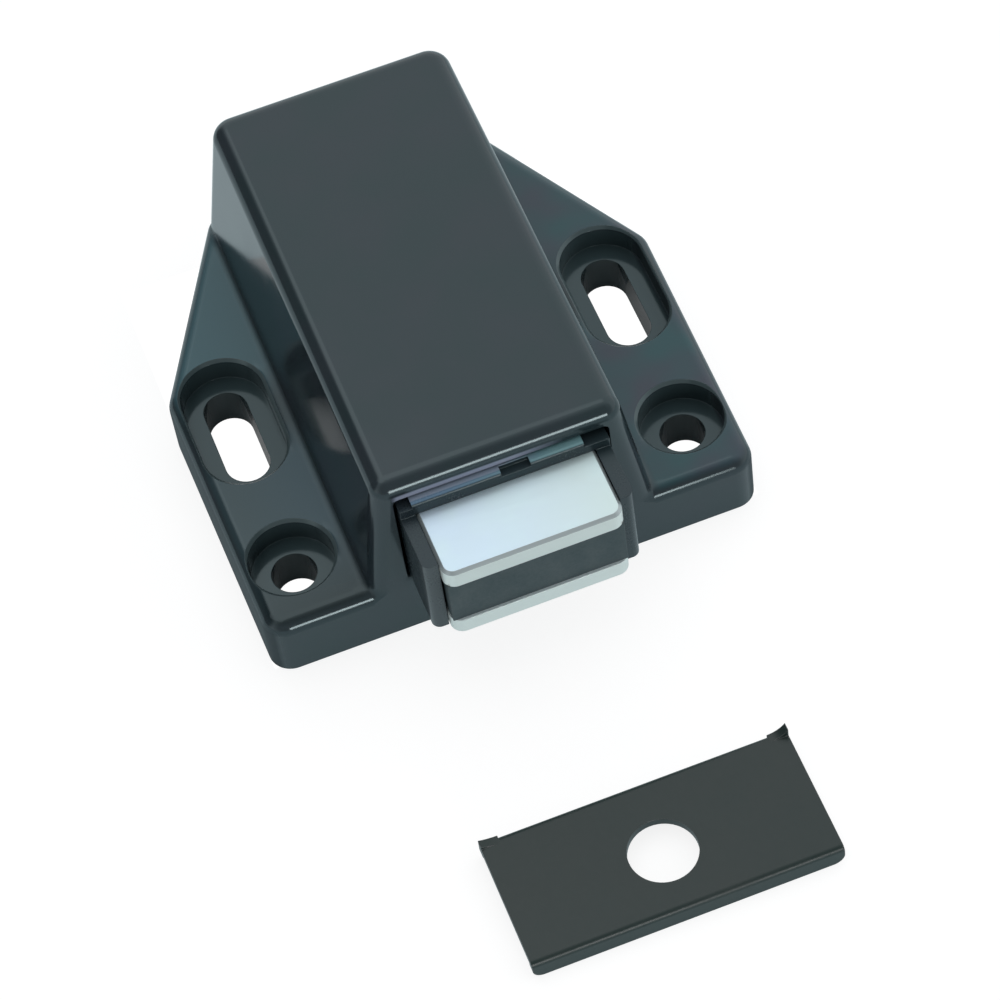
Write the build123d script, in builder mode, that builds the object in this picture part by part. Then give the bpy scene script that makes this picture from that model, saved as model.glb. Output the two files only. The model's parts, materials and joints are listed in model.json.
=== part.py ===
from build123d import *
import math
import os

os.makedirs("parts", exist_ok=True)

# Magnetic touch latch with its strike plate, in millimetres.
# X is the width, +Y runs to the back, +Z is up from the mounting face at Z = 0.
# The origin lies midway between the two front screw holes. The nose points to -Y and is
# drawn at rest, fully out.

# Housing, outside
screw_setback = 7.3  # front face to the front screw line, Y = 0
wing_width = 48.0  # at the front
wing_flare = 0.4  # how much further out each wing stands at its shoulder
wing_height = 6.7
foot_length = 49.4  # housing's length at the mounting face
total_height = 21.2
block_top_width = 23.5
block_foot_width = 27.8  # where the block meets the wings
block_front_lean = 0.3  # how far its front face leans in, from wing to top
block_back_lean = 1.3
shoulder_setback = 29.2  # front face to where the wings start to narrow
shoulder_radius = 2.5
wing_corner_radius = 2.2
taper_end_width = 27.2  # of the wings where they run out at the back
wing_edge_radius = 1.4
back_corner_radius = 2.2
front_corner_radius = 1.6
top_edge_radius = 1.6

# Housing, walls and ribs
side_wall = 1.6
end_wall = 1.6
top_wall = 2.0
wing_wall = 1.7
wing_skin = 1.9
boss_wall = 1.4
floor_skin = 1.5  # under the counterbores
guide_rib_count = 5
guide_rib_width = 1.3
guide_rib_first = 5.0  # front face to the first rib's middle
guide_rib_pitch = 6.6

# Screw holes
screw_inset = 4.7  # wing's side to the screw line
screw_hole_radius = 2.15
head_radius = 4.05
head_depth = 2.6
slot_setback = 21.0  # front face to the slot's front centre
slot_travel = 6.7
rim_chamfer = 0.3
rim_overcut = 0.2

# Carriage, the sliding plunger
slide_clearance = 0.3
carriage_width = 20.0
carriage_length = 22.2  # behind the front wall
stop_clearance = 0.2
arm_width = 1.4
arm_corner_radius = 0.8
arm_reach = 6.5  # how far the arms stand out of the front face
roof_thickness = 1.0
mouth_corner_radius = 0.6
rim_height = 0.5
rim_width = 16.4
rim_offset = -0.6
rim_depth = 1.4
rim_overhang = 0.6  # how far the rim stands out of the front face
rim_edge_radius = 0.35
notch_width = 2.8
notch_depth = 0.9
notch_offset = 1.1
runner_width = 1.4
runner_clearance = 0.15
underside = 3.2
carriage_corner = 0.4

# Magnet and pole plates
plate_thickness = 2.0
magnet_thickness = 5.4
stack_clearance = 0.05
plate_reach = 8.0  # how far the plates stand out of the front face
plate_length = 13.6
magnet_recess = 0.3
magnet_inset = 0.2  # each side, from the plate's side
plate_corner_radius = 1.2
plate_edge_chamfer = 0.3

# Springs
spring_wire = 0.6
spring_radius = 2.5  # to the middle of the wire
spring_offset = 6.3  # from the middle line
spring_height = 11.2
spring_bore_depth = 8.0
spring_turns = 6
end_pitch = 1.2
spring_seat_setback = 5.4  # back face to the housing's spring wall
spring_wall = 1.4
spring_stud_length = 6.0
spring_clearance = 0.3
spring_end_gap = 0.05  # at both seats
turn_step = 0.5  # of a turn, from one point of the winding to the next
wire_sides = 6

# Cam follower and heart-shaped track
full_travel = 7.0
latched_travel = 5.4
follower_wire = 1.2
follower_bend = 0.9
follower_sides = 8
pivot_setback = 38.0
follower_length = 19.5
follower_swing = 4.2  # sideways, at full travel
track_clearance = 0.35
track_depth = 1.9
tip_entry = 1.5  # how far the tip stands in the track
pivot_clearance = 0.05

# Base cover
cover_thickness = 1.2
cover_clearance = 0.2
cover_corner = 0.6
stake_radius = 0.55
stake_clearance = 0.05
stake_recess = 0.15

# Hold-down leaf under the follower
leaf_thickness = 0.25
leaf_width = 5.0
leaf_foot_length = 4.5
leaf_tongue_length = 5.0
leaf_setback = 24.0
leaf_stake_spacing = 3.0
leaf_stake_height = 0.3
leaf_touch = 0.02

# Strike plate, lying in front of the latch
strike_width = 29.3
strike_depth = 13.4
strike_thickness = 0.8
strike_height = 2.2
strike_bend_radius = 0.6
strike_corner_radius = 1.1
strike_hole_radius = 3.2
strike_hole_shift = 0.6  # towards the front
strike_offset = 1.2
strike_distance = 32.1  # front face to the strike's middle
strike_ear_length = 1.8
strike_ear_right = 0.9
strike_ear_left = 0.3

# Places that follow from the sizes
front = -screw_setback
back = front + foot_length
middle = (front + back) / 2
shoulder = front + shoulder_setback
ceiling = total_height - top_wall
head_floor = wing_height - head_depth
screw_spacing = wing_width - 2 * screw_inset
guide_half = carriage_width / 2 + slide_clearance
roof_top = ceiling - slide_clearance - rim_height
nose_top = roof_top - roof_thickness
nose_bottom = nose_top - 2 * plate_thickness - magnet_thickness
plate_half = carriage_width / 2 - arm_width
opening_bottom = nose_bottom - slide_clearance
tail_front = front + end_wall + stop_clearance
tail_back = tail_front + carriage_length
bore_bottom = tail_back - spring_bore_depth
spring_seat = back - spring_seat_setback
pivot_y = front + pivot_setback
wire_z = underside - track_clearance - follower_wire / 2
swing_angle = math.degrees(math.asin(follower_swing / follower_length))
slot_y = front + slot_setback + slot_travel / 2
strike_y = front - strike_distance


def block_share(z):
    """How far up the block a height is, from 0 at the wings to 1 at the top."""
    return (z - wing_height) / (total_height - wing_height)


def block_width(z):
    return block_foot_width + (block_top_width - block_foot_width) * block_share(z)


def block_front(z):
    return front + block_front_lean * block_share(z)


def block_back(z):
    return back - block_back_lean * block_share(z)


def guide_rib_places():
    """Middles of the guide ribs on one side, front to back."""
    return [front + guide_rib_first + guide_rib_pitch * n for n in range(guide_rib_count)]


def stake_places():
    """The first and last guide rib on each side carry a stake for the cover."""
    x = guide_half + (block_foot_width / 2 - side_wall - guide_half) / 2
    ribs = guide_rib_places()
    return [(side * x, y) for side in (-1, 1) for y in (ribs[0], ribs[-1])]


def slot_outline(radius):
    """Adds both adjustment slots to the open sketch."""
    with Locations((-screw_spacing / 2, slot_y), (screw_spacing / 2, slot_y)):
        SlotCenterToCenter(slot_travel, 2 * radius, rotation=90)


def drafted_block(top, side_inset, end_inset):
    """The block up to a height, its sides and ends set in: upright beside the wings, drafted above."""
    with BuildPart() as block:
        with BuildSketch(Plane.XZ.offset(-middle)):
            low, high = block_width(wing_height) / 2 - side_inset, block_width(top) / 2 - side_inset
            Polygon(
                (-low, 0),
                (low, 0),
                (low, wing_height),
                (high, top),
                (-high, top),
                (-low, wing_height),
                align=None,
            )
        extrude(amount=foot_length, both=True)
        with BuildSketch(Plane.YZ):
            Polygon(
                (front + end_inset, 0),
                (back - end_inset, 0),
                (back - end_inset, wing_height),
                (block_back(top) - end_inset, top),
                (block_front(top) + end_inset, top),
                (front + end_inset, wing_height),
                align=None,
            )
        extrude(amount=block_foot_width, both=True, mode=Mode.INTERSECT)
    return block.part


def wing_outline():
    """Adds the outline of the two wings to the open sketch."""
    shoulder_half = wing_width / 2 + wing_flare
    Polygon(
        (-taper_end_width / 2, back),
        (-shoulder_half, shoulder),
        (-wing_width / 2, front),
        (wing_width / 2, front),
        (shoulder_half, shoulder),
        (taper_end_width / 2, back),
        align=None,
    )


with BuildPart() as block_form:
    add(drafted_block(total_height, 0, 0))
    upright = block_form.edges().filter_by(lambda edge: abs(edge.tangent_at(0).Z) > 0.9)
    fillet(upright.filter_by_position(Axis.Y, middle, back), radius=back_corner_radius)
    upright = block_form.edges().filter_by(lambda edge: abs(edge.tangent_at(0).Z) > 0.9)
    fillet(upright.filter_by_position(Axis.Y, front, front + block_front_lean), radius=front_corner_radius)
    fillet(block_form.faces().sort_by(Axis.Z)[-1].edges(), radius=top_edge_radius)

# The hollow under the block. What is cut from this form stays in the housing as ribs,
# stakes, the spring wall and its two studs.
with BuildPart() as hollow_form:
    add(drafted_block(ceiling, side_wall, end_wall))
    with BuildSketch(Plane.XY.offset(cover_thickness)):
        rib_x = guide_half + side_wall
        with Locations(*[(side * rib_x, y) for side in (-1, 1) for y in guide_rib_places()]):
            Rectangle(2 * side_wall, guide_rib_width)
    extrude(amount=total_height, mode=Mode.SUBTRACT)
    with BuildSketch(Plane.XY.offset(stake_recess)):
        with Locations(*stake_places()):
            Circle(stake_radius)
    extrude(amount=cover_thickness, mode=Mode.SUBTRACT)
    with BuildSketch(Plane.XY.offset(cover_thickness)):
        with Locations((0, spring_seat + spring_wall / 2)):
            Rectangle(block_foot_width, spring_wall)
    extrude(amount=total_height, mode=Mode.SUBTRACT)
    with BuildSketch(Plane.XZ.offset(-spring_seat)):
        with Locations((-spring_offset, spring_height), (spring_offset, spring_height)):
            Circle(spring_radius - spring_wire / 2 - spring_clearance)
    extrude(amount=spring_stud_length, mode=Mode.SUBTRACT)

# Housing: the block and its two wings in one shell
with BuildPart() as housing:
    with BuildSketch() as wings:
        wing_outline()
        fillet(wings.vertices().group_by(Axis.Y)[1], radius=shoulder_radius)
        fillet(wings.vertices().group_by(Axis.Y)[0], radius=wing_corner_radius)
        fillet(wings.vertices().group_by(Axis.Y)[-1], radius=back_corner_radius)
    extrude(amount=wing_height)
    fillet(housing.faces().sort_by(Axis.Z)[-1].edges(), radius=wing_edge_radius)
    add(block_form.part)
    add(hollow_form.part, mode=Mode.SUBTRACT)

    # The nose's way out, under the top wall's lip
    with BuildSketch(Plane.XZ.offset(-front)) as mouth:
        with Locations((0, (opening_bottom + ceiling) / 2)):
            Rectangle(2 * guide_half, ceiling - opening_bottom)
        fillet(mouth.vertices().group_by(Axis.Y)[-1], radius=mouth_corner_radius)
    extrude(amount=-(end_wall + block_front_lean + slide_clearance), mode=Mode.SUBTRACT)

    # Screw holes: round in front, adjustment slots behind
    with Locations((-screw_spacing / 2, 0, wing_height), (screw_spacing / 2, 0, wing_height)):
        CounterBoreHole(screw_hole_radius, head_radius, head_depth)
    with BuildSketch(Plane.XY.offset(head_floor)):
        slot_outline(head_radius)
    extrude(amount=total_height, mode=Mode.SUBTRACT)
    with BuildSketch():
        slot_outline(screw_hole_radius)
    extrude(amount=wing_height, mode=Mode.SUBTRACT)
    with BuildSketch(Plane.XY.offset(wing_height + rim_overcut)):
        with Locations((-screw_spacing / 2, 0), (screw_spacing / 2, 0)):
            Circle(head_radius + rim_chamfer + rim_overcut)
        slot_outline(head_radius + rim_chamfer + rim_overcut)
    extrude(amount=-(rim_chamfer + rim_overcut), taper=45, mode=Mode.SUBTRACT)

    # The wings are hollow underneath, deep away from the screw heads and shallow under them
    for boss_radius, pocket_depth in (
        (head_radius + boss_wall, wing_height - wing_skin),
        (screw_hole_radius + boss_wall, head_floor - floor_skin),
    ):
        with BuildSketch() as pockets:
            wing_outline()
            offset(amount=-wing_wall, mode=Mode.REPLACE)
            with Locations((0, middle)):
                Rectangle(block_foot_width, 2 * foot_length, mode=Mode.SUBTRACT)
            with Locations((-screw_spacing / 2, 0), (screw_spacing / 2, 0)):
                Circle(boss_radius, mode=Mode.SUBTRACT)
            with Locations((-screw_spacing / 2, slot_y), (screw_spacing / 2, slot_y)):
                SlotCenterToCenter(slot_travel, 2 * boss_radius, rotation=90, mode=Mode.SUBTRACT)
        extrude(amount=pocket_depth, mode=Mode.SUBTRACT)
housing.part.label = "housing"

# Base cover: closes the block from below and carries the follower's pivot
cover_front = front + end_wall + cover_clearance
cover_back = back - end_wall - cover_clearance
cover_width = block_foot_width - 2 * side_wall - 2 * cover_clearance
with BuildPart() as base_cover:
    with BuildSketch():
        with Locations((0, (cover_front + cover_back) / 2)):
            RectangleRounded(cover_width, cover_back - cover_front, cover_corner)
        with Locations(*stake_places()):
            Circle(stake_radius + stake_clearance, mode=Mode.SUBTRACT)
    extrude(amount=cover_thickness)
    with BuildSketch(Plane.XY.offset(cover_thickness)):
        with Locations(
            (-leaf_stake_spacing / 2, front + leaf_setback + leaf_foot_length / 2),
            (leaf_stake_spacing / 2, front + leaf_setback + leaf_foot_length / 2),
        ):
            Circle(stake_radius)
    extrude(amount=leaf_stake_height)
    with Locations((0, pivot_y, cover_thickness)):
        Hole(follower_wire / 2 + pivot_clearance)
base_cover.part.label = "base_cover"

# Where the follower's tip runs in the carriage: out along one side of the heart, back
# along the other, with the latching notch between them
tip_start = (0, pivot_y - follower_length)
tip_end_y = pivot_y - follower_length * math.cos(math.radians(swing_angle)) - full_travel
tip_out = (follower_swing, tip_end_y)
tip_back = (-follower_swing, tip_end_y)
tip_latched = (0, tip_start[1] - latched_travel)
track_width = follower_wire + 2 * track_clearance


# The tip's path is a closed arrow, and the island that it goes round is the heart
with BuildSketch() as heart:
    Polygon(tip_start, tip_out, tip_latched, tip_back, align=None)
    offset(amount=-track_width / 2)

# Carriage: the plunger's slide, with arms round the magnet and the track underneath
with BuildPart() as carriage:
    with BuildSketch(Plane.XY.offset(underside)):
        with Locations((0, (tail_front + tail_back) / 2)):
            Rectangle(carriage_width, carriage_length)
    extrude(amount=roof_top - underside)
    fillet(carriage.edges().filter_by(Axis.Z).group_by(Axis.Y)[-1], radius=carriage_corner)
    with BuildSketch(Plane.XY.offset(nose_bottom)):
        with Locations((0, (front - rim_overhang + tail_front) / 2)):
            Rectangle(carriage_width, tail_front - front + rim_overhang)
    extrude(amount=roof_top - nose_bottom)
    with BuildSketch(Plane.XY.offset(nose_bottom)):
        with Locations((0, front - arm_reach / 2)):
            Rectangle(carriage_width, arm_reach)
    extrude(amount=nose_top - nose_bottom)
    fillet(carriage.edges().filter_by(Axis.Z).group_by(Axis.Y)[0], radius=arm_corner_radius)
    with BuildSketch(Plane.XY.offset(roof_top)):
        with Locations((rim_offset, front - rim_overhang + rim_depth / 2)):
            Rectangle(rim_width, rim_depth)
        with Locations((notch_offset, front - rim_overhang)):
            Rectangle(notch_width, 2 * notch_depth, mode=Mode.SUBTRACT)
    extrude(amount=rim_height)
    fillet(carriage.faces().sort_by(Axis.Z)[-1].edges().group_by(Axis.Y)[0], radius=rim_edge_radius)

    # Pocket for the magnet and its two plates
    with BuildSketch(Plane.XY.offset(nose_bottom - stack_clearance)):
        with Locations((0, front - plate_reach + (plate_length + stack_clearance) / 2)):
            Rectangle(2 * plate_half, plate_length + stack_clearance)
    extrude(amount=nose_top - nose_bottom + 2 * stack_clearance, mode=Mode.SUBTRACT)

    # Spring bores, and a well between them open at the top
    with BuildSketch(Plane.XZ.offset(-tail_back)):
        with Locations((-spring_offset, spring_height), (spring_offset, spring_height)):
            Circle(spring_radius + spring_wire / 2 + spring_clearance)
    extrude(amount=spring_bore_depth, mode=Mode.SUBTRACT)
    well_front = front - plate_reach + plate_length + end_wall
    well_width = 2 * (spring_offset - spring_radius - spring_wire / 2 - spring_clearance) - side_wall
    with BuildSketch(Plane.XY.offset(underside + track_depth + floor_skin)):
        with Locations((0, (well_front + tail_back) / 2 + end_wall / 2)):
            Rectangle(well_width, tail_back - well_front + end_wall)
    extrude(amount=total_height, mode=Mode.SUBTRACT)

    # Runners along both sides
    with BuildSketch(Plane.XY.offset(cover_thickness + runner_clearance)):
        for side in (-1, 1):
            with Locations((side * (carriage_width - runner_width) / 2, (tail_front + tail_back) / 2)):
                Rectangle(runner_width, carriage_length - 2 * carriage_corner)
    extrude(amount=underside - cover_thickness - runner_clearance)

    # Heart-shaped track
    with BuildSketch(Plane.XY.offset(underside)):
        Polygon(tip_start, tip_out, tip_latched, tip_back, align=None)
        offset(amount=track_width / 2)
        add(heart.sketch, mode=Mode.SUBTRACT)
    extrude(amount=track_depth, mode=Mode.SUBTRACT)
carriage.part.label = "carriage"


def pole_plate(bottom, outer_face):
    """One pole plate, its outer front edge broken. outer_face is -1 for the top, 0 for the bottom."""
    with BuildPart() as plate:
        with BuildSketch(Plane.XY.offset(bottom)):
            with Locations((0, front - plate_reach + plate_length / 2)):
                Rectangle(2 * (plate_half - stack_clearance), plate_length)
        extrude(amount=plate_thickness)
        fillet(plate.edges().filter_by(Axis.Z).group_by(Axis.Y)[0], radius=plate_corner_radius)
        broken = plate.faces().sort_by(Axis.Z)[outer_face].edges().sort_by(Axis.Y)[0:3]
        chamfer(broken, length=plate_edge_chamfer)
    return plate


upper_pole_plate = pole_plate(nose_top - plate_thickness, -1)
upper_pole_plate.part.label = "upper_pole_plate"

lower_pole_plate = pole_plate(nose_bottom, 0)
lower_pole_plate.part.label = "lower_pole_plate"

with BuildPart() as magnet:
    with BuildSketch(Plane.XY.offset(nose_bottom + plate_thickness)):
        with Locations((0, front - plate_reach + plate_length / 2)):
            Rectangle(2 * (plate_half - magnet_inset), plate_length - 2 * magnet_recess)
    extrude(amount=magnet_thickness)
magnet.part.label = "magnet"


def biarc(start, start_tangent, end, end_tangent):
    """Two arcs that join two points of a curve and share its directions there."""
    chord = end - start
    both = start_tangent + end_tangent
    a = 2 * start_tangent.dot(end_tangent) - 2
    b = -2 * chord.dot(both)
    c = chord.dot(chord)
    reach = (-b - math.sqrt(b * b - 4 * a * c)) / (2 * a)
    first_control = start + start_tangent * reach
    second_control = end - end_tangent * reach
    joint = (first_control + second_control) * 0.5
    return [
        TangentArc(start, joint, tangent=start_tangent),
        TangentArc(joint, end, tangent=second_control - first_control),
    ]


def coil_y(turn, length):
    """How far along the spring a turn has climbed: close at both ends, open between."""
    if turn <= 1:
        return end_pitch * turn
    if turn >= spring_turns - 1:
        return length - end_pitch * (spring_turns - turn)
    return end_pitch + (length - 2 * end_pitch) * (turn - 1) / (spring_turns - 2)


def least_gap(line, wire):
    """Least clear distance between stretches of a wound wire that lie half a turn or more apart."""
    per_turn = 40
    points = [line @ (n / (per_turn * spring_turns)) for n in range(per_turn * spring_turns + 1)]
    gaps = [
        (far - near).length - wire
        for n, near in enumerate(points)
        for far in points[n + per_turn // 2 :]
    ]
    return min(gaps)


def spring(x):
    """One compression spring from the carriage's bore to the housing's spring wall."""
    tail_rise = spring_wire * end_pitch / math.hypot(end_pitch, 2 * math.pi * spring_radius)
    first_y = bore_bottom + spring_end_gap + spring_wire / 2 + tail_rise
    length = spring_seat - spring_end_gap - spring_wire / 2 - tail_rise - first_y
    nudge = turn_step / 50

    def point(turn):
        angle = 2 * math.pi * turn
        return Vector(
            x + spring_radius * math.cos(angle),
            first_y + coil_y(turn, length),
            spring_height + spring_radius * math.sin(angle),
        )

    def direction(turn):
        return (point(turn + nudge) - point(turn - nudge)).normalized()

    samples = [n * turn_step for n in range(round(spring_turns / turn_step) + 1)]
    with BuildPart() as wire:
        with BuildLine() as path:
            Line(point(0) - direction(0) * spring_wire, point(0))
            for first, last in zip(samples, samples[1:]):
                biarc(point(first), direction(first), point(last), direction(last))
            Line(point(spring_turns), point(spring_turns) + direction(spring_turns) * spring_wire)
        with BuildSketch(Plane(origin=path.line @ 0, z_dir=path.line % 0)):
            RegularPolygon(spring_wire / 2, wire_sides)
        sweep(path=path.line, clean=False)
    print("spring at", x, "least gap to itself", round(least_gap(path.line, spring_wire), 3), "mm")
    return wire


spring_left = spring(-spring_offset)
spring_left.part.label = "spring_left"

spring_right = spring(spring_offset)
spring_right.part.label = "spring_right"

# Cam follower: a wire with both ends bent, one in the cover and one in the track
with BuildPart() as cam_follower:
    with BuildLine() as follower_path:
        FilletPolyline(
            (0, pivot_y, stake_recess),
            (0, pivot_y, wire_z),
            (0, pivot_y - follower_length, wire_z),
            (0, pivot_y - follower_length, underside + tip_entry),
            radius=follower_bend,
        )
    with BuildSketch(Plane(origin=follower_path.line @ 0, z_dir=follower_path.line % 0)):
        RegularPolygon(follower_wire / 2, follower_sides)
    sweep(path=follower_path.line)
cam_follower.part.label = "cam_follower"

# Hold-down leaf: staked to the cover, its tongue lifts the follower into the track
leaf_front = front + leaf_setback
leaf_bend = leaf_front + leaf_foot_length
leaf_crest = wire_z - follower_wire / 2 - leaf_touch
with BuildPart() as follower_leaf:
    with BuildSketch(Plane.YZ.offset(-leaf_width / 2)):
        Polygon(
            (leaf_front, cover_thickness),
            (leaf_bend, cover_thickness),
            (leaf_bend + leaf_tongue_length, leaf_crest - leaf_thickness),
            (leaf_bend + leaf_tongue_length, leaf_crest),
            (leaf_bend, cover_thickness + leaf_thickness),
            (leaf_front, cover_thickness + leaf_thickness),
            align=None,
        )
    extrude(amount=leaf_width)
    with Locations(
        (-leaf_stake_spacing / 2, leaf_front + leaf_foot_length / 2, cover_thickness + leaf_thickness),
        (leaf_stake_spacing / 2, leaf_front + leaf_foot_length / 2, cover_thickness + leaf_thickness),
    ):
        Hole(stake_radius + stake_clearance)
follower_leaf.part.label = "follower_leaf"

# Strike plate: a shallow pressed channel with a round hole and two turned-up ears
with BuildPart() as strike_plate:
    with BuildSketch(Plane.YZ.offset(strike_offset - strike_width / 2)) as channel:
        with Locations((strike_y, strike_height / 2)):
            Rectangle(strike_depth, strike_height)
        fillet(channel.vertices().group_by(Axis.Y)[-1], radius=strike_bend_radius)
        with Locations((strike_y, (strike_height - strike_thickness) / 2)):
            Rectangle(
                strike_depth - 2 * strike_thickness, strike_height - strike_thickness, mode=Mode.SUBTRACT
            )
    extrude(amount=strike_width)
    ear_foot = strike_height - strike_bend_radius
    for side, rise in ((-1, strike_ear_left), (1, strike_ear_right)):
        ear_tip = strike_offset + side * strike_width / 2
        ear_root = ear_tip - side * strike_ear_length
        with BuildSketch(Plane.XZ.offset(-strike_y - strike_depth / 2)):
            with BuildLine():
                TangentArc((ear_root, strike_height), (ear_tip, strike_height + rise), tangent=(side, 0))
                Line((ear_tip, strike_height + rise), (ear_tip, ear_foot))
                Line((ear_tip, ear_foot), (ear_root, ear_foot))
                Line((ear_root, ear_foot), (ear_root, strike_height))
            make_face()
        extrude(amount=strike_thickness)
    fillet(strike_plate.edges().filter_by(Axis.Y).group_by(Axis.Z)[0], radius=strike_corner_radius)
    with Locations((strike_offset, strike_y - strike_hole_shift, strike_height)):
        Hole(strike_hole_radius)
strike_plate.part.label = "strike_plate"

for piece in (
    housing,
    base_cover,
    carriage,
    upper_pole_plate,
    lower_pole_plate,
    magnet,
    spring_left,
    spring_right,
    cam_follower,
    follower_leaf,
    strike_plate,
):
    export_step(piece.part, "parts/" + piece.part.label + ".step")
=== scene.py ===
import json
import math

import bpy
from mathutils import Matrix, Vector


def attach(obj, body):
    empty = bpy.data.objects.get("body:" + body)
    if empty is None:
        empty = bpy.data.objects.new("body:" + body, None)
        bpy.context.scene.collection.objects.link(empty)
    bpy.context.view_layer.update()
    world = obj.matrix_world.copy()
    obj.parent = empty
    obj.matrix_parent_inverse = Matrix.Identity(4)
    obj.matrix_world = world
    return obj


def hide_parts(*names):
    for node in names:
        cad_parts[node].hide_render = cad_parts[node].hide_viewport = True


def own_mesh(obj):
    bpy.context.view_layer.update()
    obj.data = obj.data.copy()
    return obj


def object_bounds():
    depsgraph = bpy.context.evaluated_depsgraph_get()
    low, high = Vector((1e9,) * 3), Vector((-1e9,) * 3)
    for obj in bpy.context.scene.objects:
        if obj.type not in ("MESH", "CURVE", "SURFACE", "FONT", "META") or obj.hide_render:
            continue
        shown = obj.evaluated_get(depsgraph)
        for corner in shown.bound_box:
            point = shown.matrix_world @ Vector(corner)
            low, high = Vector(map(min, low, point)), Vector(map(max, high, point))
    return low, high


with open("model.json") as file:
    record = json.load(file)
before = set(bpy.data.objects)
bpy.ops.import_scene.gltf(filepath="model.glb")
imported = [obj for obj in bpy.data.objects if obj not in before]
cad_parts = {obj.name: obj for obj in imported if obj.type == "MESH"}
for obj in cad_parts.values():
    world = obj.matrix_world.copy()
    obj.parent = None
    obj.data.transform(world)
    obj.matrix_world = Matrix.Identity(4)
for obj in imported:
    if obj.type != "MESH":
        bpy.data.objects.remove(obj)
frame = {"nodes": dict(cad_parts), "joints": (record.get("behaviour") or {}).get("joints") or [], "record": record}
cad_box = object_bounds()

MM = 0.001
WHITE = (1.0, 1.0, 1.0)

# Camera, fitted to the photograph's edges. Angles are in degrees, lens and sensor in millimetres,
# the other lengths in metres.
CAMERA_AZIMUTH = -12.897
CAMERA_ELEVATION = 54.245
CAMERA_ROLL = 9.305
CAMERA_DISTANCE = 0.370405
CAMERA_AIM = Vector((0.855, -0.643, 4.809)) * MM
CAMERA_LENS = 144.0
SENSOR_WIDTH = 36.0
CLIP_START = 0.01
CLIP_END = 20.0

# The floor, a plain white table
FLOOR_SIZE = 6.0
FLOOR_GAP = 0.02 * MM  # keeps the floor clear of the faces that rest on it
FLOOR_COLOUR = (0.82, 0.82, 0.82)  # for the light that it throws back at the object
FLOOR_GLOW = 0.76  # share of the floor's white that a shadow leaves
FLOOR_LIFT = 0.085  # brings the open floor up to white
FLOOR_MIRROR = (0.50, 0.63, 0.67)  # tint of the open floor's glow where the object mirrors it
FOOTPRINT = {"X": (-24.0, 24.0), "Y": (-6.5, 41.5)}  # the floor under the housing, in mm

# The sky. A dark part has its direction, the dot products where it starts and is full, and the
# share of the light that is left in it.
SKY_COLOUR = (0.97, 1.0, 1.02)
DARK_PARTS = (
    ((-0.1, -0.85, 0.5), (0.35, 0.9), 0.33),
    ((-0.8, 0.5, 0.33), (0.66, 0.9), 0.15),
)

# Area lamps that face the object: place, width and height, power
LAMPS = {
    "soft_box": ((-0.12, 0.18, 0.6), (0.5, 0.5), 0.4),
    "low_strip": ((0.045, -0.5, 0.085), (0.13, 0.12), 0.45),
}

# Zones of the surfaces. A row has a measure, the span where the zone fades in and the span where it
# fades out. x, y, z and reach, the distance from the middle plane, are in millimetres. up goes from
# 0 on a wall to 1 on a level top.
WING_TOPS = ("z", (6.3, 6.6), (6.8, 7.2))
LEFT_WING = (WING_TOPS, ("x", None, (-14.6, -13.8)))
RIGHT_WING = (WING_TOPS, ("x", (13.8, 14.6), None))
# Zones of the wings' teal and violet tints
LEFT_TINT_INNER = (("x", (-22.0, -15.5), None),)
LEFT_TINT_BACK = (("y", (17.0, 24.0), None),)
LEFT_TINT_FRONT_END = (("y", (-6.5, 3.0), None),)
LEFT_TINT_THIN_PART = (("y", (11.0, 15.0), None),)
LEFT_TINT_RETURN = (("y", (17.0, 22.0), None),)
RIGHT_TINT_GAP = (("y", (12.5, 16.0), (18.0, 24.0)),)
# Counterbore chamfers, where a painted highlight goes
BORE_CHAMFERS = (("up", (0.66, 0.69), (0.73, 0.76)), ("z", (6.38, 6.42), (6.75, 6.8)))
WING_SIDES = (("up", None, (0.1, 0.6)), ("z", None, (6.0, 6.6)), ("reach", (22.8, 23.4), None))
# Counterbore and slot pits, painted paler as painted light
PITS = (("reach", (14.4, 14.7), (22.9, 23.2)), ("z", None, (6.2, 6.4)), ("y", (-6.2, -5.8), None))
# The lip over the mouth, where a painted highlight goes
MOUTH_LIP = (
    ("x", (-10.4, -9.8), (1.0, 6.0)),
    ("y", None, (-6.2, -6.0)),
    ("z", (19.1, 19.2), (19.6, 19.8)),
)
BLOCK_FOOT = (("reach", None, (15.0, 15.4)), ("z", (6.4, 6.6), (7.6, 8.0)))
# The rim's top, painted pale as a painted reflection, and a line on it, a painted highlight
RIM_TOP = (("z", (18.78, 18.86), None), ("y", None, (-5.0, -4.0)))
RIM_LINE = (*RIM_TOP, ("y", (-7.5, -7.4), None), ("x", None, (0.0, 3.5)))
RIM_RIGHT = (("x", (-5.0, 5.0), None),)
# The left arm's end faces, painted paler as painted light
LEFT_ARM_END = (("x", None, (-8.5, -8.0)), ("y", None, (-12.8, -12.0)), ("up", None, (0.3, 0.6)))
# The lower plate, painted paler as painted light
LOWER_PLATE = (("z", None, (10.3, 10.9)),)
# Plate walls, painted paler as a painted reflection of the table
PLATE_WALLS = (("up", None, (0.1, 0.3)),)
# Plate chamfers, painted grey as a painted dark reflection
PLATE_CHAMFERS = (("up", (0.15, 0.35), (0.85, 0.97)),)

# Values that the materials share. Colours are linear.
NOISE_SPAN = (0.3, 0.7)  # where most of a noise's values lie
FULL_SPAN = (0.0, 1.0)
EDGE_SPAN = (0.75, 0.98)  # dot product of the true and the softened normal, from edge to flat
EDGE_SAMPLES = 4
FILLET_SAMPLES = 8
BLACK_SHEEN = (0.8, 0.97, 1.0)  # tint of what the black plastic mirrors


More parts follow.
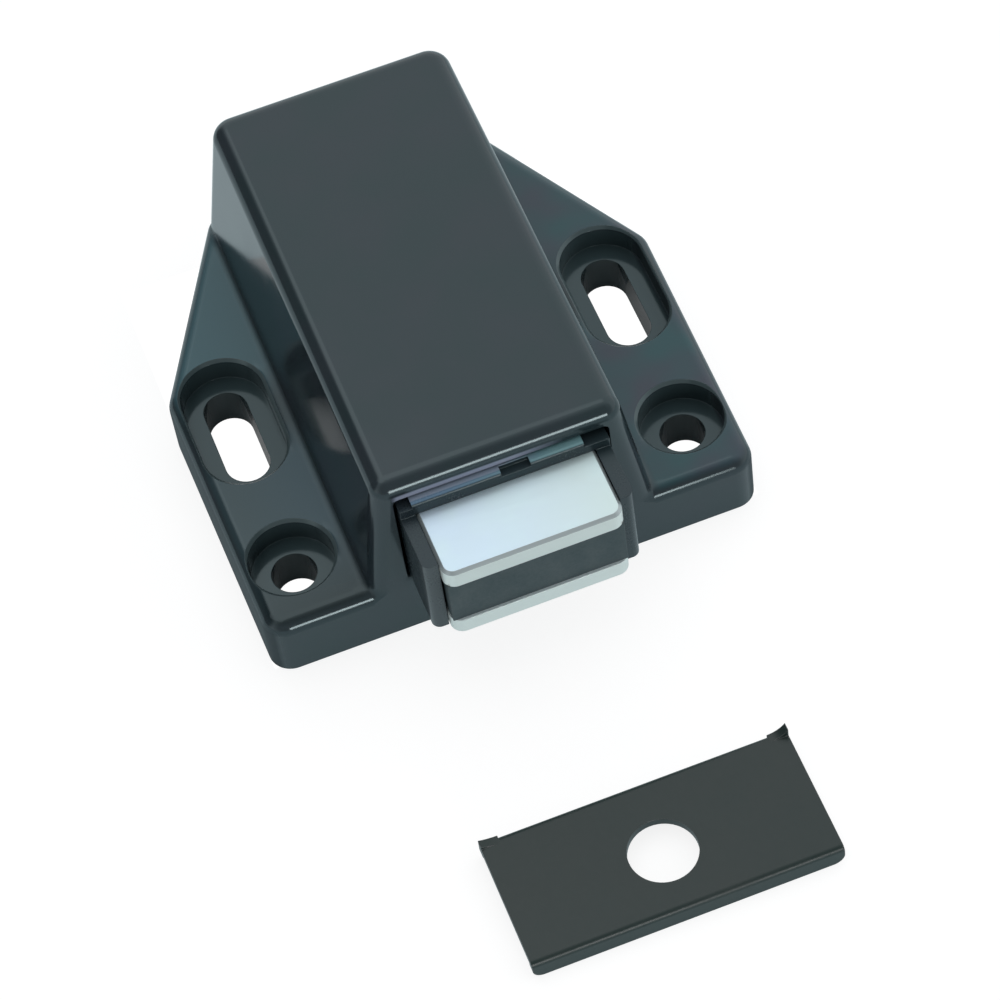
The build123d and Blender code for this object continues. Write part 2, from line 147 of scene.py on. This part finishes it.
def camera():
    """The photograph's viewpoint."""
    azimuth = math.radians(CAMERA_AZIMUTH)
    elevation = math.radians(CAMERA_ELEVATION)
    roll = math.radians(CAMERA_ROLL)
    level = Vector((math.cos(azimuth), math.sin(azimuth), 0.0))
    back = Vector(
        (
            math.sin(azimuth) * math.cos(elevation),
            -math.cos(azimuth) * math.cos(elevation),
            math.sin(elevation),
        )
    )
    upright = back.cross(level)
    right = level * math.cos(roll) - upright * math.sin(roll)
    up = level * math.sin(roll) + upright * math.cos(roll)
    data = bpy.data.cameras.new("camera")
    data.lens = CAMERA_LENS
    data.sensor_width = SENSOR_WIDTH
    data.clip_start = CLIP_START
    data.clip_end = CLIP_END
    view = bpy.data.objects.new("camera", data)
    bpy.context.scene.collection.objects.link(view)
    turn = Matrix((right, up, back)).transposed().to_4x4()
    view.matrix_world = Matrix.Translation(CAMERA_AIM + back * CAMERA_DISTANCE) @ turn
    bpy.context.scene.camera = view


class Graph:
    """A node tree, with short calls for the nodes that materials, floor and sky share."""

    def __init__(self, tree):
        self.tree = tree

    def node(self, kind, **settings):
        made = self.tree.nodes.new(kind)
        for name, value in settings.items():
            setattr(made, name, value)
        return made

    def feed(self, value, socket):
        """Links another node's output to a socket, or sets a colour, vector or number on it."""
        if isinstance(value, bpy.types.NodeSocket):
            self.tree.links.new(value, socket)
        elif socket.type == "RGBA":
            socket.default_value = (*value, 1.0)
        else:
            socket.default_value = value

    def made(self, kind, output, **inputs):
        """One output of a new node, with its inputs fed by name."""
        made = self.node(kind)
        for name, value in inputs.items():
            self.feed(value, made.inputs[name])
        return made.outputs[output]

    def between(self, value, start, end, span=NOISE_SPAN, curve="LINEAR"):
        """Maps a span of a value to the range from start to end, clamped."""
        made = self.node("ShaderNodeMapRange", interpolation_type=curve)
        made.inputs["From Min"].default_value, made.inputs["From Max"].default_value = span
        made.inputs["To Min"].default_value = start
        made.inputs["To Max"].default_value = end
        self.feed(value, made.inputs["Value"])
        return made.outputs["Result"]

    def math(self, operation, *values):
        made = self.node("ShaderNodeMath", operation=operation)
        for value, socket in zip(values, made.inputs):
            self.feed(value, socket)
        return made.outputs["Value"]

    def dot(self, first, second):
        """The dot product of two vectors."""
        made = self.node("ShaderNodeVectorMath", operation="DOT_PRODUCT")
        self.feed(first, made.inputs[0])
        self.feed(second, made.inputs[1])
        return made.outputs["Value"]

    def mix(self, share, first, second, kind="RGBA"):
        """Blends two colours, or two vectors with kind VECTOR."""
        made = self.node("ShaderNodeMix", data_type=kind)
        self.feed(share, made.inputs["Factor"])
        for name, value in (("A", first), ("B", second)):
            self.feed(value, next(s for s in made.inputs if s.name == name and s.type == kind))
        return next(s for s in made.outputs if s.type == kind)

    def split(self, vector):
        """The X, Y and Z of a vector, by name."""
        made = self.node("ShaderNodeSeparateXYZ")
        self.feed(vector, made.inputs["Vector"])
        return made.outputs


class Look(Graph):
    """A procedural material, with the coordinates and masks that its surface needs."""

    def __init__(self, name):
        self.material = bpy.data.materials.new(name)
        self.material.use_nodes = True
        super().__init__(self.material.node_tree)
        self.shader = self.tree.nodes["Principled BSDF"]
        source = self.node("ShaderNodeTexCoord").outputs
        self.place = source["Object"]
        axes = self.split(self.place)
        self.measures = {
            "x": axes["X"],
            "y": axes["Y"],
            "z": axes["Z"],
            "reach": self.math("ABSOLUTE", axes["X"]),
            "up": self.split(source["Normal"])["Z"],
        }

    def stretched(self, along):
        """The object's coordinates, scaled along each axis, so that a noise runs in streaks."""
        return self.made("ShaderNodeMapping", "Vector", Vector=self.place, Scale=along)

    def noise(self, size, detail=3.0, roughness=0.5, place=None):
        """Noise whose lumps are about size metres across, from 0 to 1."""
        return self.made(
            "ShaderNodeTexNoise",
            "Fac",
            Vector=place or self.place,
            Scale=1.0 / size,
            Detail=detail,
            Roughness=roughness,
        )

    def zone(self, rows):
        """1 inside a zone, 0 outside it, with the fades between."""
        share = 1.0
        for measure, fade_in, fade_out in rows:
            unit = 1.0 if measure == "up" else MM
            for span, start, end in ((fade_in, 0.0, 1.0), (fade_out, 1.0, 0.0)):
                if span:
                    scaled = (span[0] * unit, span[1] * unit)
                    step = self.between(self.measures[measure], start, end, scaled)
                    share = self.math("MULTIPLY", share, step)
        return share

    def painted(self, tone, rows, colour):
        """The tone, with a colour over one zone."""
        return self.mix(self.zone(rows), tone, colour)

    def edge_coloured(self, tone, edge, share, colour):
        """The tone, with a share of a colour along the edges."""
        return self.mix(self.math("MULTIPLY", edge, share), tone, colour)

    def softened(self, radius, samples):
        """The normal, rounded over edges and inner corners."""
        made = self.node("ShaderNodeBevel", samples=samples)
        self.feed(radius, made.inputs["Radius"])
        return made.outputs["Normal"]

    def edges(self, radius):
        """1 on edges sharper than the radius, 0 on flats, and the softened normal."""
        soft = self.softened(radius, EDGE_SAMPLES)
        flat = self.node("ShaderNodeNewGeometry").outputs["Normal"]
        return self.between(self.dot(soft, flat), 1.0, 0.0, EDGE_SPAN), soft

    def bump(self, height, distance, strength, normal):
        return self.made(
            "ShaderNodeBump",
            "Normal",
            Height=height,
            Distance=distance,
            Strength=strength,
            Normal=normal,
        )

    def finish(self, colour, roughness, normal, metallic=0.0, ior=1.5, tint=WHITE):
        """Feeds the shader and returns the material."""
        values = {
            "Base Color": colour,
            "Roughness": roughness,
            "Normal": normal,
            "Metallic": metallic,
            "IOR": ior,
            "Specular Tint": tint,
        }
        for name, value in values.items():
            self.feed(value, self.shader.inputs[name])
        return self.material


def moulded_black(name, cool, warm, gloss, satin, grain, relief):
    """Black moulding: soft blotches in tint and gloss, a fine skin, edges painted paler, partly as wear and partly
    as a painted highlight.
    """
    look = Look(name)
    edge, soft = look.edges(radius=0.12 * MM)
    blotch = look.noise(size=7 * MM, detail=2.0)
    skin = look.noise(size=grain, detail=2.0)
    ripple = look.noise(size=2.6 * MM, detail=1.0)
    tone = look.mix(look.between(blotch, start=0.0, end=1.0, span=(0.35, 0.65)), cool, warm)
    # Paler edges: partly wear, partly a painted highlight.
    tone = look.edge_coloured(tone, edge, share=0.35, colour=(0.05, 0.07, 0.08))
    skin_share = 0.4
    mottle = look.math("ADD", blotch, look.math("MULTIPLY", skin, skin_share))
    rough = look.between(mottle, start=gloss, end=satin, span=(0.4, 1.0))
    normal = look.bump(ripple, distance=0.03 * MM, strength=0.06, normal=soft)
    normal = look.bump(skin, distance=0.008 * MM, strength=relief, normal=normal)
    return look, tone, rough, normal


def left_wing_tint(look, untinted):
    """The left wing's tint: teal at the back, faint in the middle, paler towards the block."""
    outer, inner, back = (0.024, 0.044, 0.052), (0.03, 0.062, 0.082), (0.042, 0.1, 0.12)
    thin_share = 0.2
    tinge = look.mix(look.zone(LEFT_TINT_INNER), outer, inner)
    tinge = look.painted(tinge, LEFT_TINT_BACK, back)
    thinning = look.between(look.zone(LEFT_TINT_THIN_PART), start=1.0, end=thin_share, span=FULL_SPAN)
    spread = look.math("MULTIPLY", look.zone(LEFT_TINT_FRONT_END), thinning)
    spread = look.math("MAXIMUM", spread, look.zone(LEFT_TINT_RETURN))
    return look.mix(spread, untinted, tinge)


def right_wing_tint(look, untinted):
    """The right wing's tint, blotched in teal and violet."""
    teal, violet = (0.013, 0.056, 0.064), (0.034, 0.036, 0.055)
    blotch = look.between(look.noise(size=5 * MM, detail=1.0), start=0.0, end=1.0)
    return look.painted(look.mix(blotch, teal, violet), RIGHT_TINT_GAP, untinted)


def housing_black():
    """Gloss black housing: tinted wings, painted highlights on lip and chamfers, painted light in the pits."""
    look, tone, rough, normal = moulded_black(
        "black_abs",
        cool=(0.016, 0.028, 0.032),
        warm=(0.02, 0.027, 0.034),
        gloss=0.09,
        satin=0.17,
        grain=0.22 * MM,
        relief=0.035,
    )
    untinted = (0.003, 0.009, 0.011)
    tone = look.painted(tone, LEFT_WING, left_wing_tint(look, untinted))
    tone = look.painted(tone, RIGHT_WING, right_wing_tint(look, untinted))
    # Painted highlight: the counterbore chamfers painted paler.
    tone = look.painted(tone, BORE_CHAMFERS, colour=(0.06, 0.085, 0.09))
    # Painted light: the pits painted paler, lifting their shade.
    tone = look.painted(tone, PITS, colour=(0.033, 0.053, 0.058))
    # Painted highlight: a pale line along the mouth's lip.
    tone = look.painted(tone, MOUTH_LIP, colour=(0.26, 0.29, 0.38))
    side_matt = 0.55
    rough = look.math("ADD", rough, look.math("MULTIPLY", look.zone(WING_SIDES), side_matt))
    fillet = look.softened(radius=1.0 * MM, samples=FILLET_SAMPLES)
    normal = look.mix(look.zone(BLOCK_FOOT), normal, fillet, kind="VECTOR")
    return look.finish(tone, rough, normal, ior=1.56, tint=BLACK_SHEEN)


def carriage_black():
    """The carriage's black, with a pale bluish painted reflection and a painted highlight line on the rim's top.
    """
    look, tone, rough, normal = moulded_black(
        "black_pom",
        cool=(0.017, 0.029, 0.033),
        warm=(0.02, 0.028, 0.035),
        gloss=0.2,
        satin=0.32,
        grain=0.16 * MM,
        relief=0.1,
    )
    blue, teal = (0.10, 0.175, 0.265), (0.15, 0.28, 0.30)
    # Painted reflection: the rim's top painted pale, bluish at the left and teal at the right.
    tone = look.painted(tone, RIM_TOP, look.mix(look.zone(RIM_RIGHT), blue, teal))
    # Painted highlight: a pale line along the rim's front.
    tone = look.painted(tone, RIM_LINE, colour=(0.24, 0.29, 0.37))
    # Painted light: the left arm's end faces painted paler, lifting their shade.
    tone = look.painted(tone, LEFT_ARM_END, colour=(0.055, 0.066, 0.072))
    return look.finish(tone, rough, normal, tint=BLACK_SHEEN)


def zinc_plate():
    """Zinc plate, blue to warm, with painted light making the lower plate and the walls paler and a painted dark
    reflection on the chamfers.
    """
    look = Look("zinc_steel")
    edge, soft = look.edges(radius=0.1 * MM)
    blue, warm, tinge = (0.68, 0.83, 0.96), (0.67, 0.80, 0.79), (0.70, 0.88, 0.90)
    waver = look.math("MULTIPLY", look.noise(size=7 * MM), 10 * MM)
    drift = look.math("ADD", look.measures["x"], waver)
    tone = look.mix(look.between(drift, start=0.0, end=1.0, span=(-3 * MM, 14 * MM)), blue, warm)
    patch = look.noise(size=4 * MM, detail=2.0)
    tone = look.mix(look.between(patch, start=0.0, end=0.5, span=(0.45, 0.75)), tone, tinge)
    # Painted light: the lower plate painted paler for the light the table throws on it.
    tone = look.painted(tone, LOWER_PLATE, colour=(0.86, 0.94, 0.95))
    # Painted reflection: the plate walls painted paler and less blue, for the white table they mirror.
    tone = look.painted(tone, PLATE_WALLS, colour=(0.80, 0.87, 0.84))
    # Painted dark reflection: the chamfers painted grey.
    tone = look.painted(tone, PLATE_CHAMFERS, colour=(0.44, 0.50, 0.51))
    tone = look.edge_coloured(tone, edge, share=0.5, colour=(0.6, 0.68, 0.7))
    streak = look.noise(size=0.5 * MM, place=look.stretched(along=(0.12, 1.0, 1.0)))
    rough = look.between(streak, start=0.3, end=0.38)
    normal = look.bump(streak, distance=0.002 * MM, strength=0.25, normal=soft)
    return look.finish(tone, rough, normal, metallic=0.5)


def ferrite():
    """Sintered magnet: matt dark grey with fine pits and paler ground corners."""
    look = Look("ferrite")
    edge, soft = look.edges(radius=0.15 * MM)
    dark, pale = (0.032, 0.056, 0.062), (0.054, 0.078, 0.084)
    grain = look.noise(size=0.35 * MM, detail=4.0, roughness=0.7)
    cloud = look.noise(size=3 * MM)
    tone = look.mix(look.between(cloud, start=0.0, end=1.0), dark, pale)
    tone = look.edge_coloured(tone, edge, share=0.5, colour=(0.09, 0.11, 0.12))
    rough = look.between(grain, start=0.42, end=0.62)
    normal = look.bump(grain, distance=0.04 * MM, strength=0.35, normal=soft)
    return look.finish(tone, rough, normal)


def spring_steel():
    """Drawn wire and leaf stock: grey metal with fine marks."""
    look = Look("spring_steel")
    soft = look.softened(radius=0.05 * MM, samples=EDGE_SAMPLES)
    dark, pale = (0.42, 0.43, 0.44), (0.55, 0.56, 0.57)
    mark = look.noise(size=0.3 * MM)
    tone = look.mix(look.between(mark, start=0.0, end=1.0), dark, pale)
    rough = look.between(mark, start=0.25, end=0.4)
    normal = look.bump(mark, distance=0.01 * MM, strength=0.2, normal=soft)
    return look.finish(tone, rough, normal, metallic=1.0)


def coated_steel():
    """Dark grey-green coating on pressed steel, with a painted highlight along the bends."""
    look = Look("coated_steel")
    edge, soft = look.edges(radius=0.16 * MM)
    dark, pale = (0.006, 0.02, 0.018), (0.014, 0.026, 0.024)
    cloud = look.noise(size=6 * MM, detail=4.0, roughness=0.6)
    speck = look.noise(size=0.5 * MM)
    tone = look.mix(look.between(cloud, start=0.0, end=1.0), dark, pale)
    # Painted highlight: edges and bends painted much paler.
    tone = look.edge_coloured(tone, edge, share=0.7, colour=(0.16, 0.17, 0.17))
    speck_share = 0.5
    mottle = look.math("ADD", cloud, look.math("MULTIPLY", speck, speck_share))
    rough = look.between(mottle, start=0.3, end=0.46, span=(0.4, 1.1))
    normal = look.bump(speck, distance=0.02 * MM, strength=0.3, normal=soft)
    return look.finish(tone, rough, normal)


def dress():
    """Gives every CAD node the finish of its material slot."""
    finishes = {
        "black_abs": housing_black(),
        "black_pom": carriage_black(),
        "zinc_steel": zinc_plate(),
        "ferrite": ferrite(),
        "spring_steel": spring_steel(),
        "coated_steel": coated_steel(),
    }
    slots = {part["node"]: part["material_slot"] for part in frame["record"]["subparts"]}
    for name, node in frame["nodes"].items():
        node.data.materials.clear()
        node.data.materials.append(finishes[slots[name]])


def coils():
    """The two springs as copies of their CAD meshes, attached to the body, with the CAD nodes hidden."""
    slide = next(joint for joint in frame["joints"] if joint["name"] == "plunger_slide")
    for spring in slide["deforming_nodes"]:
        name, seat = spring["node"], spring["fixed_end_y_m"]
        piece = bpy.data.objects.new(f"{name}_coil", frame["nodes"][name].data.copy())
        bpy.context.scene.collection.objects.link(piece)
        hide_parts(name)
        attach(piece, "body")
        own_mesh(piece)


def open_table(graph):
    """1 on the open table, 0 under the housing, where no light reaches the table."""
    axes = graph.split(graph.made("ShaderNodeTexCoord", "Object"))
    share = 0.0
    for axis, (low, high) in FOOTPRINT.items():
        share = graph.math("MAXIMUM", share, graph.math("LESS_THAN", axes[axis], low * MM))
        share = graph.math("MAXIMUM", share, graph.math("GREATER_THAN", axes[axis], high * MM))
    return share


def table_white():
    """White that keeps the object's shadow, and is dimmer where the object mirrors it."""
    material = bpy.data.materials.new("floor")
    material.use_nodes = True
    material.node_tree.nodes.clear()
    graph = Graph(material.node_tree)
    ray = graph.node("ShaderNodeLightPath").outputs
    is_open = open_table(graph)
    matt = graph.made("ShaderNodeBsdfDiffuse", "BSDF", Color=FLOOR_COLOUR)
    shaded = graph.made("ShaderNodeBsdfDiffuse", "BSDF", Color=(1.0 - FLOOR_GLOW,) * 3)
    hue = graph.mix(ray["Is Glossy Ray"], WHITE, FLOOR_MIRROR)
    level = graph.between(is_open, start=1.0, end=FLOOR_GLOW + FLOOR_LIFT, span=FULL_SPAN)
    glow = graph.made("ShaderNodeEmission", "Emission", Color=hue, Strength=level)
    white = graph.node("ShaderNodeAddShader")
    graph.feed(shaded, white.inputs[0])
    graph.feed(glow, white.inputs[1])
    mirrored = graph.math("MULTIPLY", ray["Is Glossy Ray"], is_open)
    choose = graph.node("ShaderNodeMixShader")
    graph.feed(graph.math("MAXIMUM", ray["Is Camera Ray"], mirrored), choose.inputs["Fac"])
    graph.feed(matt, choose.inputs[1])
    graph.feed(white.outputs["Shader"], choose.inputs[2])
    end = graph.node("ShaderNodeOutputMaterial")
    graph.feed(choose.outputs["Shader"], end.inputs["Surface"])
    return material


def floor():
    """The table that the object lies on."""
    mesh = bpy.data.meshes.new("floor")
    half = FLOOR_SIZE / 2
    corners = [(-half, -half, 0), (half, -half, 0), (half, half, 0), (-half, half, 0)]
    mesh.from_pydata(corners, [], [(0, 1, 2, 3)])
    mesh.materials.append(table_white())
    table = bpy.data.objects.new("floor", mesh)
    table.location.z = cad_box[0].z - FLOOR_GAP
    bpy.context.scene.collection.objects.link(table)


def sky():
    """A studio dome, unlit on the camera's side and to the left."""
    world = bpy.data.worlds.new("studio")
    bpy.context.scene.world = world
    world.use_nodes = True
    graph = Graph(world.node_tree)
    direction = graph.made("ShaderNodeTexCoord", "Generated")
    light = 1.0
    for dark, span, left in DARK_PARTS:
        facing = graph.dot(direction, Vector(dark).normalized())
        level = graph.between(facing, start=1.0, end=left, span=span, curve="SMOOTHSTEP")
        light = graph.math("MULTIPLY", light, level)
    background = world.node_tree.nodes["Background"]
    graph.feed(SKY_COLOUR, background.inputs["Color"])
    graph.feed(light, background.inputs["Strength"])


def lamps():
    """A soft box above, for a faint shadow, and a low strip in front, for thin lights on edges."""
    for name, (place, size, power) in LAMPS.items():
        data = bpy.data.lights.new(name, "AREA")
        data.shape = "RECTANGLE"
        data.size, data.size_y = size
        data.energy = power
        lamp = bpy.data.objects.new(name, data)
        bpy.context.scene.collection.objects.link(lamp)
        lamp.location = place
        lamp.rotation_euler = lamp.location.to_track_quat("Z", "Y").to_euler()


camera()
dress()
coils()
floor()
sky()
lamps()

scene = bpy.context.scene
scene.view_settings.view_transform = "Standard"
